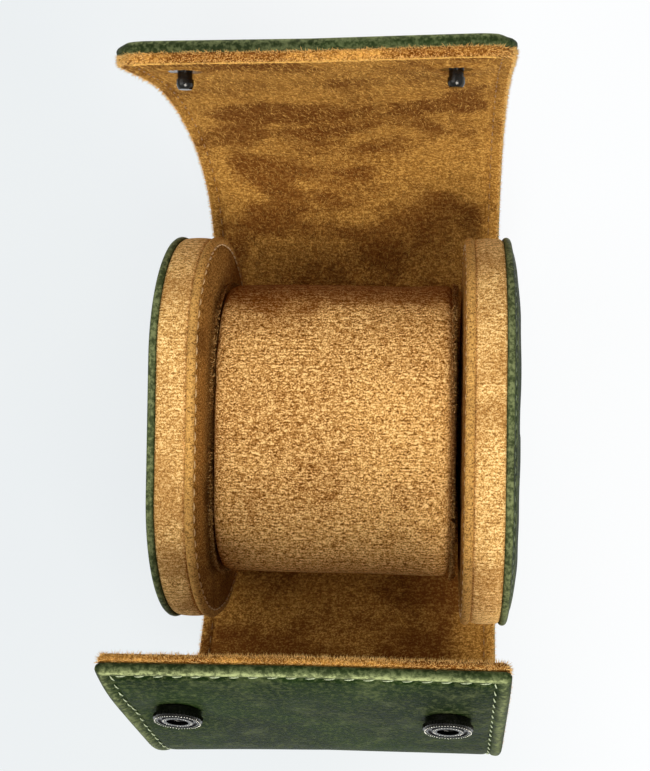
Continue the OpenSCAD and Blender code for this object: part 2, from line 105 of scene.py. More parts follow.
# ---- material helpers ----
class Tree:
    """A small wrapper that builds a node material."""

    def __init__(self, name):
        self.mat = bpy.data.materials.new(name)
        self.mat.use_nodes = True
        self.t = self.mat.node_tree
        self.t.nodes.clear()
        self.out = self.t.nodes.new("ShaderNodeOutputMaterial")
        self.bsdf = self.t.nodes.new("ShaderNodeBsdfPrincipled")
        self.t.links.new(self.bsdf.outputs[0], self.out.inputs[0])
        self.coord = self.t.nodes.new("ShaderNodeTexCoord").outputs["Object"]

    def link(self, a, b):
        if isinstance(a, (int, float)):
            b.default_value = a
        elif isinstance(a, tuple):
            b.default_value = a if len(a) == len(b.default_value) else (*a, 1.0)
        else:
            self.t.links.new(a, b)

    def noise(self, scale, detail=3.0, rough=0.5, distortion=0.0, vector=None):
        n = self.t.nodes.new("ShaderNodeTexNoise")
        n.inputs["Scale"].default_value = scale
        n.inputs["Detail"].default_value = detail
        n.inputs["Roughness"].default_value = rough
        n.inputs["Distortion"].default_value = distortion
        self.t.links.new(vector or self.coord, n.inputs["Vector"])
        return n.outputs["Fac"]

    def voronoi(self, scale, feature="F1"):
        n = self.t.nodes.new("ShaderNodeTexVoronoi")
        n.feature = feature
        n.inputs["Scale"].default_value = scale
        self.t.links.new(self.coord, n.inputs["Vector"])
        return n.outputs["Distance"]

    def stretch(self, scale, rotation=(0, 0, 0), location=(0, 0, 0)):
        n = self.t.nodes.new("ShaderNodeMapping")
        n.inputs["Scale"].default_value = scale
        n.inputs["Rotation"].default_value = rotation
        n.inputs["Location"].default_value = location
        self.t.links.new(self.coord, n.inputs["Vector"])
        return n.outputs["Vector"]

    def math(self, op, a, b, clamp=False):
        n = self.t.nodes.new("ShaderNodeMath")
        n.operation = op
        n.use_clamp = clamp
        self.link(a, n.inputs[0])
        self.link(b, n.inputs[1])
        return n.outputs[0]

    def fit(self, value, low, high, to_low=0.0, to_high=1.0):
        n = self.t.nodes.new("ShaderNodeMapRange")
        n.interpolation_type = "SMOOTHSTEP"
        self.t.links.new(value, n.inputs["Value"])
        for name, v in (("From Min", low), ("From Max", high), ("To Min", to_low), ("To Max", to_high)):
            n.inputs[name].default_value = v
        return n.outputs["Result"]

    def mix(self, factor, a, b):
        n = self.t.nodes.new("ShaderNodeMix")
        n.data_type = "RGBA"
        self.link(factor, n.inputs[0])
        self.link(a, n.inputs[6])
        self.link(b, n.inputs[7])
        return n.outputs[2]

    def attribute(self, name, output="Fac"):
        n = self.t.nodes.new("ShaderNodeAttribute")
        n.attribute_name = name
        return n.outputs[output]

    def vector(self, op, a, b=None):
        n = self.t.nodes.new("ShaderNodeVectorMath")
        n.operation = op
        for value, socket in ((a, n.inputs[0]), (b, n.inputs[1])):
            if isinstance(value, tuple):
                socket.default_value = value
            elif value is not None:
                self.t.links.new(value, socket)
        return n.outputs["Value" if op == "LENGTH" else "Vector"]

    def wander(self, vector, scale, reach):
        """The vector, moved about by up to half the reach, so that what it places has uneven edges."""
        n = self.t.nodes.new("ShaderNodeTexNoise")
        n.inputs["Scale"].default_value = scale
        n.inputs["Detail"].default_value = 4
        self.t.links.new(vector, n.inputs["Vector"])
        moved = self.vector("SUBTRACT", n.outputs["Color"], (0.5, 0.5, 0.5))
        return self.vector("ADD", vector, self.vector("MULTIPLY", moved, (reach, reach, reach)))

    def marks(self, vector, spots):
        """Brushed places in the nap, and places of painted light and shade: centre and radii in mm, and how much
        lighter or darker.
        """
        total = 0.0
        for centre, radii, amount in spots:
            off = self.vector("SUBTRACT", vector, tuple(c * MM for c in centre))
            off = self.vector("DIVIDE", off, tuple(r * MM for r in radii))
            total = self.math("ADD", total, self.fit(self.vector("LENGTH", off), 0.65, 1.15, amount, 0.0))
        return total

    def blend(self, *parts):
        """The sum of values, each with its own share."""
        total = None
        for value, share in parts:
            scaled = self.math("MULTIPLY", value, share)
            total = scaled if total is None else self.math("ADD", total, scaled)
        return total

    def bump(self, height, distance, strength):
        n = self.t.nodes.new("ShaderNodeBump")
        n.inputs["Distance"].default_value = distance
        n.inputs["Strength"].default_value = strength
        self.t.links.new(height, n.inputs["Height"])
        return n.outputs["Normal"]

    def finish(self, color, rough, normal=None, **sockets):
        self.link(color, self.bsdf.inputs["Base Color"])
        self.link(rough, self.bsdf.inputs["Roughness"])
        if normal is not None:
            self.t.links.new(normal, self.bsdf.inputs["Normal"])
        for k, v in sockets.items():
            self.bsdf.inputs[k.replace("_", " ")].default_value = v
        return self.mat


def suede(name, deep, mid, light, flat=False, edge=0.0, clouds=0.5, nap_scale=30.0, flecks=1.0, rows=0.0,
          pile_scale=2700, shift=(0, 0, 0), spots=()):
    """Brushed suede: clouds of laid nap, light flecks on the pile's tips that are painted glints, dark flecks that are
    painted shade between the fibres, and faint rows where it has a weave.

    deep, mid and light are the colours of laid nap, standing nap and lit tips, the last a painted highlight. flat
    takes the place on the flat sheet from an attribute, and edge is how far a rubbed edge goes to the light colour, a
    rub with a painted highlight where the edge catches the light.
    """
    m = Tree(name)
    if flat:
        m.coord = m.attribute("flat", "Vector")
    v = m.stretch((1, 1, 1), location=shift)
    # where the nap stands (1) and where it is laid (1 - clouds)
    broad = m.noise(nap_scale, 4, 0.55, 1.0, v)
    strokes = m.noise(nap_scale * 1.8, 3, 0.55, 0.3, m.stretch((0.55, 1.3, 1.0), (0.2, 0.1, 0.6), shift))
    small = m.noise(nap_scale * 9, 4, 0.62, 0.5, v)
    field = m.blend((broad, 0.55), (strokes, 0.33), (small, 0.12))
    upright = m.fit(field, 0.42, 0.575, 1.0 - clouds, 1.0)
    if spots:
        # brushed marks in the nap, and places of painted light and shade, from the given spots
        laid = m.marks(m.wander(m.coord, 110, 0.011), spots)
        upright = m.math("ADD", upright, laid, clamp=True)
    # the pile itself, and the rows of the weave under it
    pile = m.noise(pile_scale, 2, 0.8, 0.0, v)
    fibres = m.noise(0.7 * pile_scale, 3, 0.7, 0.4, m.stretch((0.5, 1.0, 0.8)))
    height = m.blend((pile, 0.55), (fibres, 0.45))
    if rows:
        wave = m.t.nodes.new("ShaderNodeTexWave")
        wave.wave_type, wave.bands_direction = "BANDS", "Y"
        for key, value in (("Scale", 400), ("Distortion", 4.0), ("Detail", 3.0), ("Detail Scale", 3.0)):
            wave.inputs[key].default_value = value
        m.t.links.new(m.coord, wave.inputs["Vector"])
        line = m.math("SUBTRACT", wave.outputs["Fac"], 0.5)
        height = m.math("ADD", height, m.math("MULTIPLY", line, m.fit(small, 0.42, 0.6, 0.0, rows)))
    color = m.mix(upright, deep, mid)
    if edge:
        # rubbed edges go toward the light colour: rub, with a painted highlight where the edge catches the light
        color = m.mix(m.fit(m.attribute("wear"), 0.4, 0.9, 0.0, edge), color, light)
    # light flecks on the pile's tips: a painted glint
    tips = m.math("MULTIPLY", m.fit(height, 0.49, 0.60), m.fit(upright, 0.0, 0.8, 0.3 * flecks, 0.85 * flecks))
    color = m.mix(tips, color, light)
    # dark flecks in the pile's hollows: painted shade between the fibres
    color = m.mix(m.fit(height, 0.50, 0.40, 0.0, 0.8 * flecks), color, tuple(0.5 * c for c in deep))
    return m.finish(color, 0.95, m.bump(height, 0.0004, 0.6), Specular_IOR_Level=0.08)


def leather(name, base, light, dark):
    """Waxed pull-up leather: clouded green, pores and creases, paler where it is bent and rubbed, with a painted
    highlight along its rolled edges.
    """
    m = Tree(name)
    clouds = m.noise(40, 5, 0.6, 0.6)
    smudge = m.noise(120, 5, 0.7, 0.3)
    grain = m.noise(950, 4, 0.72)
    cells = m.voronoi(1300)
    creases = m.voronoi(620, "DISTANCE_TO_EDGE")
    color = m.mix(m.fit(clouds, 0.38, 0.64), dark, base)
    color = m.mix(m.fit(smudge, 0.48, 0.7, 0.0, 0.08), color, light)
    color = m.mix(m.fit(grain, 0.48, 0.62, 0.0, 0.09), color, light)
    color = m.mix(m.fit(grain, 0.5, 0.38, 0.0, 0.5), color, dark)
    # paler where rubbed, with a painted highlight along the rolled edges, broken up by the grain
    patchy = m.fit(m.math("ADD", grain, m.math("MULTIPLY", smudge, 0.4)), 0.58, 0.82, 0.25, 1.0)
    color = m.mix(m.math("MULTIPLY", m.attribute("wear"), patchy), color, light)
    height = m.blend((cells, 0.4), (m.fit(creases, 0.0, 0.1), 0.25), (grain, 0.8))
    rough = m.math("ADD", m.math("MULTIPLY", clouds, 0.2), m.fit(grain, 0.35, 0.65, 0.3, 0.5))
    return m.finish(color, rough, m.bump(height, 0.00025, 0.6), IOR=1.1)


def metal(name, base, rough):
    m = Tree(name)
    scratch = m.noise(900, 4, 0.65, 0.3, m.stretch((1, 6, 1), (0.3, 0.2, 0.7)))
    spots = m.noise(700, 3, 0.6)
    color = m.mix(m.fit(spots, 0.4, 0.7), base, tuple(1.4 * c for c in base))
    return m.finish(color, m.fit(scratch, 0.3, 0.7, rough, rough + 0.12), m.bump(scratch, 0.00001, 0.3),
                    Metallic=1.0)


def thread(name, color):
    m = Tree(name)
    strands = m.noise(3000, 2)
    return m.finish(m.mix(m.fit(strands, 0.35, 0.65), tuple(0.55 * c for c in color), color), 0.7,
                    m.bump(strands, 0.0001, 0.5), Sheen_Weight=0.2)


def plain_board(name, color):
    m = Tree(name)
    fibres = m.noise(600, 5, 0.7)
    return m.finish(m.mix(m.fit(fibres, 0.3, 0.7), tuple(0.7 * c for c in color), color), 0.85,
                    m.bump(fibres, 0.0002, 0.4))


# brushed places of the nap, as centre and radii in mm and the change: the lining's are on the flat wrap;
# the darker places low in the far flap's curl and over the base are painted shade
FAR_TIP = BASE_HALF + sum(panel[0][0] for panel in FAR)
LINING_MARKS_AND_SHADE = [((-14, FAR_TIP - 56, 0), (21, 7, 50), -0.9), ((24, FAR_TIP - 55, 0), (14, 6, 50), -0.8),
                ((-2, FAR_TIP - 34, 0), (8, 6, 50), -0.5), ((0, FAR_TIP - 94, 0), (10, 8, 50), -0.45),
                ((-5, FAR_TIP - 70, 0), (7, 6, 50), -0.4), ((-20, FAR_TIP - 30, 0), (19, 19, 50), 0.5),
                ((22, FAR_TIP - 38, 0), (14, 9, 50), 0.4), ((0, FAR_TIP - 83, 0), (15, 4, 50), 0.4),
                ((37, FAR_TIP - 75, 0), (3.5, 42, 50), 0.6), ((0, 0, 0), (60, 40, 50), -0.15)]
# the cushion is darker at its far end and in a few patches where its nap lies down, and lighter along its near end,
# a painted light where its top curves away from the lamps
CUSHION_MARKS_AND_LIGHT = [((0, 38.5, 55), (60, 10.5, 60), -1.0), ((-21, -20, 60), (5, 8, 30), -0.1),
                 ((-10, -31, 55), (13, 2.2, 40), -0.15), ((15, -32, 55), (9, 2.2, 40), -0.12),
                 ((-2, -12, 62), (8, 6, 30), -0.12), ((-15, 25, 60), (10, 3.5, 30), -0.15),
                 ((0, -34, 50), (60, 15, 60), 0.35)]
MAT = {
    # the lining's colours are darker than the panels': painted shade, where it stands steep and lies under the curled
    # flaps
    "suede": suede("suede", (0.150, 0.046, 0.005), (0.37, 0.167, 0.028), (0.86, 0.49, 0.12), flat=True, edge=1.0,
                   clouds=0.95, nap_scale=32, flecks=0.7, pile_scale=2000, shift=(0.013, 0.02, 0.0),
                   spots=LINING_MARKS_AND_SHADE),
    "panel_suede": suede("panel_suede", (0.38, 0.170, 0.038), (0.67, 0.365, 0.105), (1.0, 0.70, 0.30),
                         clouds=0.75, nap_scale=32, flecks=1.1, rows=0.07),
    # darker colours than the panels': painted shade, where the inner panel faces the narrow gap beside the cushion
    "inner_suede": suede("inner_suede", (0.14, 0.050, 0.006), (0.31, 0.130, 0.020), (0.72, 0.40, 0.11), edge=0.5,
                         clouds=0.8, nap_scale=30),
    "cushion_suede": suede("cushion_suede", (0.20, 0.058, 0.004), (0.54, 0.265, 0.065), (0.96, 0.63, 0.25),
                           clouds=0.40, nap_scale=27, flecks=1.2, rows=0.06, shift=(0.09, 0.05, 0.0),
                           spots=CUSHION_MARKS_AND_LIGHT),
    # far brighter colours than the lining's: a painted highlight on the nap of the cut edges, which catches the light
    "edge_suede": suede("edge_suede", (0.80, 0.43, 0.11), (1.0, 0.60, 0.19), (1.0, 0.84, 0.42), clouds=0.5,
                        nap_scale=60, flecks=0.3),
    "leather": leather("leather", (0.012, 0.026, 0.005), (0.40, 0.44, 0.19), (0.005, 0.012, 0.002)),
    "metal": metal("metal", (0.042, 0.040, 0.036), 0.13),
    # a lighter copy of the socket metal: painted glints on the knurled rings
    "bright_metal": metal("bright_metal", (0.66, 0.63, 0.54), 0.2),
    "green_thread": thread("green_thread", (0.50, 0.56, 0.32)),
    "cover_thread": thread("cover_thread", (0.20, 0.25, 0.12)),
    "tan_thread": thread("tan_thread", (0.40, 0.21, 0.06)),
    "pale_thread": thread("pale_thread", (0.80, 0.52, 0.22)),
    "board": plain_board("board", (0.35, 0.30, 0.22)),
}


# ---- mesh helpers ----
def make(name, verts, faces, mat, attributes=None, merge=0.0):
    mesh = bpy.data.meshes.new(name)
    mesh.from_pydata([tuple(v) for v in verts], [], faces)
    for key, values in (attributes or {}).items():
        values = np.asarray(values, np.float32)
        if values.ndim == 2:
            mesh.attributes.new(key, "FLOAT_VECTOR", "POINT").data.foreach_set("vector", values.ravel())
        else:
            mesh.attributes.new(key, "FLOAT", "POINT").data.foreach_set("value", values)
    bm = bmesh.new()
    bm.from_mesh(mesh)
    if merge:
        bmesh.ops.remove_doubles(bm, verts=bm.verts, dist=merge)
    bmesh.ops.recalc_face_normals(bm, faces=bm.faces)
    bm.to_mesh(mesh)
    bm.free()
    mesh.polygons.foreach_set("use_smooth", [True] * len(mesh.polygons))
    mesh.materials.append(MAT[mat])
    obj = bpy.data.objects.new(name, mesh)
    bpy.context.scene.collection.objects.link(obj)
    return obj


def ring_faces(rings, sides, first=0):
    """The faces between rings of vertices, each ring closed on itself."""
    faces = []
    for i in range(rings - 1):
        for k in range(sides):
            a, b = first + i * sides + k, first + i * sides + (k + 1) % sides
            faces.append((a, b, b + sides, a + sides))
    return faces


def tube_faces(rings, sides):
    """The faces of a tube with closed ends."""
    return ring_faces(rings, sides) + [tuple(reversed(range(sides))), tuple(range((rings - 1) * sides, rings * sides))]


def capsule(a, b, up, r, sink):
    """A thread stitch from a to b, arched along up, as vertices and faces."""
    rings, sides = 9, 8
    up = up.normalized()
    d = b - a
    length = d.length
    d.normalize()
    side = d.cross(up).normalized()
    verts = []
    for i in range(rings):
        t = i / (rings - 1)
        s = math.sin(math.pi * t)
        radius = r * max(0.22, s ** 0.35)
        centre = a + d * (length * t) + up * (r * 0.9 * (s ** 0.6) - sink)
        for k in range(sides):
            q = 2 * math.pi * k / sides
            verts.append(centre + (side * math.cos(q) + up * math.sin(q)) * radius)
    return verts, tube_faces(rings, sides)


def fibre(root, direction, length, width):
    """One fibre of the nap: a three-sided spike."""
    d = direction.normalized()
    a = d.orthogonal().normalized()
    b = d.cross(a)
    foot = [root + (a * math.cos(q) + b * math.sin(q)) * width for q in (0.0, 2.1, 4.2)]
    return foot + [root + d * length], [(0, 1, 3), (1, 2, 3), (2, 0, 3), (2, 1, 0)]


def grown(length):
    """A fibre's length, from its least length and how much it varies."""
    return (length[0] + length[1] * rng.random()) * MM


def joined(parts):
    """Several (vertices, faces) as one."""
    verts, faces = [], []
    for v, f in parts:
        k = len(verts)
        verts += v
        faces += [tuple(i + k for i in face) for face in f]
    return verts, faces


# ---- the wrap ----
class Flap:
    """A flap's profile as a path on the face between leather and lining.

    s is the way along it from the base, x the way across, and o the offset toward the lining, all in mm.
    """

    def __init__(self, name, panels, sign, corner_r, snap_edge, skew):
        self.name, self.panels, self.sign, self.corner_r = name, panels, sign, corner_r
        self.snap_edge, self.skew = snap_edge, skew
        self.starts = [0.0]
        self.knots = []
        state, s = (BASE_HALF, LEATHER_T, 0.0), 0.0
        for panel in panels:
            for length, curl in panel:
                self.knots.append((s, state, length, math.radians(curl)))
                state = self.step(state, length, math.radians(curl), length)
                s += length
            self.starts.append(s)
        self.length = s
        self.mids = [(a + b) / 2 for a, b in zip(self.starts, self.starts[1:])]

    @staticmethod
    def step(state, length, curl, d):
        y, z, h = state
        turn = curl * d / length
        if turn == 0:
            return (y + d * math.cos(h), z + d * math.sin(h), h)
        r = d / turn
        return (y + r * (math.sin(h + turn) - math.sin(h)), z - r * (math.cos(h + turn) - math.cos(h)), h + turn)

    def at(self, s):
        if s <= 0:
            return (BASE_HALF + s, LEATHER_T, 0.0)
        knot = [k for k in self.knots if k[0] <= s + TINY][-1]
        return self.step(knot[1], knot[2], knot[3], s - knot[0])

    def from_snap(self, s, x):
        return math.hypot(abs(x) - SNAP_PITCH / 2, self.length - self.snap_edge - s)

    def point(self, s, x, o):
        """A place on the flap. The flap hangs a little askew, but not where its snaps are."""
        y, z, h = self.at(s)
        y, z = y - o * math.sin(h), z + o * math.cos(h)
        askew = x * self.skew[0 if x < 0 else 1] * smooth((y - SKEW_FROM) / SKEW_FROM)
        y += self.sign * askew * smooth((self.from_snap(s, x) - SEAT_R) / 7)
        return Vector((x, self.sign * y, z)) * MM

    def inward(self, s):
        h = self.at(s)[2]
        return Vector((0, -self.sign * math.sin(h), math.cos(h)))

    def forward(self, s):
        h = self.at(s)[2]
        return Vector((0, self.sign * math.cos(h), math.sin(h)))

    def half_width(self, s, half, r):
        left = self.length - s
        if left >= r:
            return half
        return half - r + math.sqrt(max(0.0, r * r - (r - left) ** 2))

    def depth_in(self, s, x, half, r):
        """Distance in from the outline, at (s, x)."""
        left, side = self.length - s, half - abs(x)
        if left < r and side < r:
            return r - math.hypot(r - left, r - side)
        return min(left, side)

    def at_tip(self, s, x, half):
        """1 along the free edge, 0 along the sides, and between them at the corners."""
        return smooth((half - abs(x) - self.length + s) / 4 + 0.5)


def cut_edge(o, middle, d):
    """Rounds a sheet's cut edge: draws the offset o in to the sheet's middle, at a distance d from the outline."""
    if d >= EDGE_ROUND:
        return o
    return middle + (o - middle) * math.sqrt(max(0.0, 1 - (1 - d / EDGE_ROUND) ** 2))


def across(half):
    """Places across a sheet: close together at its two edges, even between them."""
    middle = half - INSETS[-1]
    return ([-(half - i) for i in INSETS]
            + [-middle + 2 * middle * k / CELLS_ACROSS for k in range(1, CELLS_ACROSS)]
            + [half - i for i in reversed(INSETS)])


def sheet(name, rows, half_at, spot, mat):
    """A sheet with two faces. spot(face, row, x) gives a vertex, its rub and painted highlight, and its place when
    flat.
    """
    spots, faces = [], []
    for face in (0, 1):
        for row in rows:
            xs = across(half_at(row))
            spots += [spot(face, row, x) for x in xs]
    n = len(xs)
    for face in (0, 1):
        for r in range(len(rows) - 1):
            for c in range(n - 1):
                a = (face * len(rows) + r) * n + c
                quad = (a, a + 1, a + n + 1, a + n)
                faces.append(quad if face == 0 else quad[::-1])
    verts, wear, places = zip(*spots)
    return make(name, verts, faces, mat, {"wear": wear, "flat": places}, merge=TINY)


def strip(name, flap, s0, s1, outer, inner, half, mat, look):
    """One layer of a flap between s0 and s1. outer and inner are its two faces' offsets."""
    count = max(2, int(round((s1 - s0) / ROW_STEP)))
    rows = [s0 + (s1 - s0) * i / count for i in range(count + 1)]
    if s1 >= flap.length - TINY:
        rows = [r for r in rows if r < flap.length - INSETS[-1]] + [flap.length - i for i in reversed(INSETS)]

    def spot(face, s, x):
        d = max(0.0, flap.depth_in(s, x, half, flap.corner_r))
        o = cut_edge((outer, inner)[face] + look(face, s, x, d, flap), (outer + inner) / 2, d)
        # the rubbed hem and its painted highlight, full at the free edge, which catches the light, and less along the
        # sides
        rubbed_and_lit = bell(d, HEM_AT, HEM_W) * (SIDE_RUB_AND_HIGHLIGHT + (1 - SIDE_RUB_AND_HIGHLIGHT) * flap.at_tip(s, x, half))
        return flap.point(s, x, o), rubbed_and_lit, (x * MM, flap.sign * (BASE_HALF + s) * MM, o * MM)

    return sheet(name, rows, lambda s: flap.half_width(s, half, flap.corner_r), spot, mat)


def base_strip(name, outer, inner, half, mat, look):
    """The middle of the base, between the two flaps' first segments."""
    count = 14
    rows = [-LEAD + 2 * LEAD * i / count for i in range(count + 1)]

    def spot(face, y, x):
        s, d, share = -BASE_HALF + abs(y), half - abs(x), smooth((y + LEAD) / (2 * LEAD))
        o = (outer, inner)[face] + (1 - share) * look(face, s, x, d, near) + share * look(face, s, x, d, far)
        o = cut_edge(o, (outer + inner) / 2, d)
        return Vector((x, y, LEATHER_T + o)) * MM, SIDE_RUB_AND_HIGHLIGHT * bell(d, HEM_AT, HEM_W), (x * MM, y * MM, o * MM)

    return sheet(name, rows, lambda y: half, spot, mat)


def leather_look(face, s, x, d, flap):
    """Waves, the puckered seam, the rolled edge and the seats of the sockets, on the leather's outer face."""
    if face == 1:
        return 0.0
    wave = noise.noise(Vector((x * 0.035, s * 0.05, 3.0 + flap.sign))) * 0.16
    pull = 0.85 + 0.25 * math.sin(2 * math.pi * (s + abs(x)) / STITCH_PITCH)
    pucker = 0.5 * bell(d, STITCH_INSET, 0.6) * pull
    fuller = 0.4 * flap.at_tip(s, x, HALF_LEATHER) * (flap.sign > 0)
    roll = (0.22 + fuller) * math.sin(math.pi * min(1.0, d / 2.6))
    seat = 0.0
    if flap.sign < 0:
        away = flap.from_snap(s, x)
        seat = 0.22 * (1 - smooth((away - 5.0) / 1.6)) - 0.16 * bell(away, 8.2, 1.8)
    return wave * smooth(d / 4) + pucker - roll + seat


def lining_look(face, s, x, d, flap):
    """Waves, the hem's groove and its puffed edge, on the lining's suede face."""
    if face == 0:
        return 0.0
    wave = noise.noise(Vector((x * 0.05, s * 0.06, 9.0 + flap.sign))) * 0.22
    fuzz = noise.noise(Vector((x * 1.9, s * 1.9, 5.0))) * 0.06
    fuller = 0.3 * flap.at_tip(s, x, HALF_LINING) * (flap.sign > 0)
    puffed = (0.22 + fuller) * bell(d, HEM_AT, 1.0)
    return (wave - 0.05) * smooth(d / 4) - 0.6 * bell(d, 3.2, 0.6) + fuzz + puffed


def stitches(flap, s0, s1, offset, slant, sink, radius):
    """Stitches at the given face, between s0 and s1, round the free edge where it is in reach."""
    parts = []
    out = 1 if offset > 0 else -1
    r = max(flap.corner_r - STITCH_INSET, 0.0)
    side, top = HALF_LEATHER - STITCH_INSET, flap.length - STITCH_INSET
    straight = top - r - 1.0

    def add(s, x, ds, dx):
        """A stitch at (s, x) that runs by ds along the flap and dx across it."""
        if not (s0 <= s < s1):
            return
        f, i, w = flap.forward(s), flap.inward(s) * out, Vector((1, 0, 0))
        turn = slant * (1 + 0.25 * (rng.random() - 0.5))
        d = (f * (ds + turn * dx) + w * (dx - turn * ds)).normalized()
        c = flap.point(s, x, offset)
        half_l = STITCH_L / 2 * (0.93 + 0.12 * rng.random()) * MM
        parts.append(capsule(c - d * half_l, c + d * half_l, i, radius * MM, sink * MM))

    for sgn in (-1, 1):
        for k in range(int((straight - 1.0 + BASE_HALF) / STITCH_PITCH) + 1):
            add(straight - STITCH_PITCH * k, sgn * side, 1, 0)
        if r > 0.5:
            arc = int(max(1, round(r * math.pi / 2 / STITCH_PITCH)))
            for k in range(arc):
                q = math.pi / 2 * (k + 0.5) / arc
                add(top - r + r * math.sin(q), sgn * (side - r + r * math.cos(q)), math.cos(q), -sgn * math.sin(q))
    width = side - r
    count = int(2 * width / STITCH_PITCH)
    for k in range(count):
        add(top, -width + 2 * width * (k + 0.5) / count, 0, 1)
    return joined(parts) if parts else None


def fringe(flap, s0, s1):
    """Nap that stands out from the lining's cut edges."""
    half, r = HALF_LINING, flap.corner_r
    side_end = min(s1, flap.length - r)
    parts = []

    def tuft(s, x, ds, dx):
        """A fibre at (s, x) on the outline, whose way out is ds along the flap and dx across it."""
        lift = rng.random()
        out = flap.forward(s) * ds + Vector((1, 0, 0)) * dx
        lean = flap.inward(s) * (lift * 1.1 - 0.4) + flap.forward(s) * rng.gauss(0, 0.45)
        lean += Vector((rng.gauss(0, 0.45), 0, 0))
        back = 0.5 + 0.9 * max(0.0, lift - 0.6)
        root = flap.point(s - ds * back, x - dx * back, 0.15 + (LINING_T - 0.15) * lift)
        parts.append(fibre(root, out * 1.1 + lean, grown(FRINGE_L), FRINGE_R * MM))

    at_tip = s1 >= flap.length - TINY
    for side in (-1, 1):
        for _ in range(int((side_end - s0) * FRINGE_PER_MM * 0.55)):
            tuft(s0 + (side_end - s0) * rng.random(), side * half, 0, side)
        if at_tip:
            for _ in range(int(r * 1.6 * FRINGE_PER_MM)):
                q = math.pi / 2 * rng.random()
                tuft(flap.length - r + r * math.sin(q), side * (half - r + r * math.cos(q)), math.sin(q),
                     side * math.cos(q))
    if at_tip:
        for _ in range(int(2 * (half - r) * FRINGE_PER_MM)):
            tuft(flap.length, (2 * rng.random() - 1) * (half - r), 1, 0)
    return joined(parts)


def hairs(flap, s0, s1):
    """Longer hairs of the lining's nap, lying over towards the base or across it."""
    parts, places, pale = [], [], []
    for _ in range(int((s1 - s0) * 2 * HALF_LINING * HAIRS_PER_MM2)):
        s, x = s0 + (s1 - s0) * rng.random(), (2 * rng.random() - 1) * (HALF_LINING - 0.6)
        d = flap.depth_in(s, x, HALF_LINING, flap.corner_r)
        if d < 0.5 or flap.from_snap(s, x) < 5.0:
            continue
        o = LINING_T + lining_look(1, s, x, d, flap) - 0.05
        turn = HAIR_LIE + rng.gauss(0, 0.8) + 1.2 * noise.noise(Vector((x * 0.04, s * 0.04, 7.0)))
        along = flap.forward(s) * -math.cos(turn) + Vector((math.sin(turn), 0, 0))
        lift = flap.inward(s) * (0.2 + 0.35 * rng.random())
        hair = fibre(flap.point(s, x, o), along + lift, grown(HAIR_L), HAIR_R * MM)
        parts.append(hair)
        places += [(x * MM, flap.sign * (BASE_HALF + s) * MM, o * MM)] * len(hair[0])
        # each hair goes part of the way to the light colour: a painted glint on the hairs
        pale += [0.25 + 0.75 * rng.random()] * len(hair[0])
    return make("%s_pile_%d" % (flap.name, int(s0)), *joined(parts), "suede", {"flat": places, "wear": pale})


far = Flap("far", FAR, 1, FAR_CORNER, STUD_EDGE, (0.004, 0.020))
near = Flap("near", NEAR, -1, NEAR_CORNER, SOCKET_EDGE, (0.036, 0.006))


def place(obj, flap, k):
    """Segment k of a flap rides on its last body alone when k is the last; any other is left where it was built."""
    names = ["base"] + ["%s_%d" % (flap.name, i) for i in range(1, len(flap.panels) + 1)]
    if k == len(flap.panels):
        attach(obj, names[k])
    else:
        hinge = flap.starts[k]
        flap.point(hinge - BEND, 0, 0)
        flap.point(hinge + BEND, 0, 0)
        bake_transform(obj)


for flap in (far, near):
    edges = [-LEAD] + flap.mids + [flap.length]
    n = len(flap.panels)
    for k in range(n + 1):
        s0, s1 = edges[k], edges[k + 1]
        skin = strip("%s_skin_%d" % (flap.name, k), flap, s0, s1, -LEATHER_T, 0.0, HALF_LEATHER, "leather",
                     leather_look)
        lining = strip("%s_suede_%d" % (flap.name, k), flap, s0, s1, 0.0, LINING_T, HALF_LINING, "suede",
                       lining_look)
        for obj, slot, layer in ((skin, "leather", "leather"), (lining, "suede", "lining")):
            # segment k covers the end of panel k, or of the base, and the start of panel k + 1
            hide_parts("%s_%s_%d" % (flap.name, layer, k) if k else "base_" + layer)
            if k < n:
                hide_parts("%s_%s_%d" % (flap.name, layer, k + 1))
            place(obj, flap, k)
        for kind, offset, slant, sink, radius, mat in (("stitch", -LEATHER_T, 0.22, 0.30, THREAD_R, "green_thread"),
                                                       ("seam", LINING_T, 0.0, 0.40, 0.13, "tan_thread")):
            sewn = stitches(flap, s0, s1, offset, slant, sink, radius)
            if sewn:
                place(make("%s_%s_%d" % (flap.name, kind, k), *sewn, mat), flap, k)
        # the nap at the cut edges takes the brighter suede, which paints its highlight
        place(make("%s_nap_%d" % (flap.name, k), *fringe(flap, s0, s1), "edge_suede"), flap, k)
        if flap is far or k == n:
            place(hairs(flap, max(s0, 0.0), s1), flap, k)


def stud_collars():
    """The lining's nap round the flanges, which are pressed into it."""
    steps = 40
    rings = ((3.35, 0.05), (3.8, 0.26), (4.5, 0.38), (5.3, 0.30), (6.2, 0.10), (7.0, -0.12))
    s_stud = far.length - STUD_EDGE
    verts, faces, places = [], [], []
    for side in (-1, 1):
        faces += ring_faces(len(rings), steps, len(verts))
        for r, h in rings:
            for k in range(steps):
                q = 2 * math.pi * k / steps
                x, s = side * SNAP_PITCH / 2 + r * math.cos(q), s_stud + r * math.sin(q)
                o = LINING_T + h + 0.22 * noise.noise(Vector((x * 0.9, s * 0.9, 2.0))) * min(1.0, r - 2.9)
                verts.append(far.point(s, x, o))
                places.append((x * MM, (BASE_HALF + s) * MM, o * MM))
    return make("stud_collars", verts, faces, "suede", {"flat": places})


collars = stud_collars()
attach(collars, "far_%d" % len(FAR))

middle_skin = base_strip("base_skin", -LEATHER_T, 0.0, HALF_LEATHER, "leather", leather_look)
middle_lining = base_strip("base_suede", 0.0, LINING_T, HALF_LINING, "suede", lining_look)
for obj, slot, node in ((middle_skin, "leather", "base_leather"), (middle_lining, "suede", "base_lining")):
    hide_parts(node)
    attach(obj, "base")


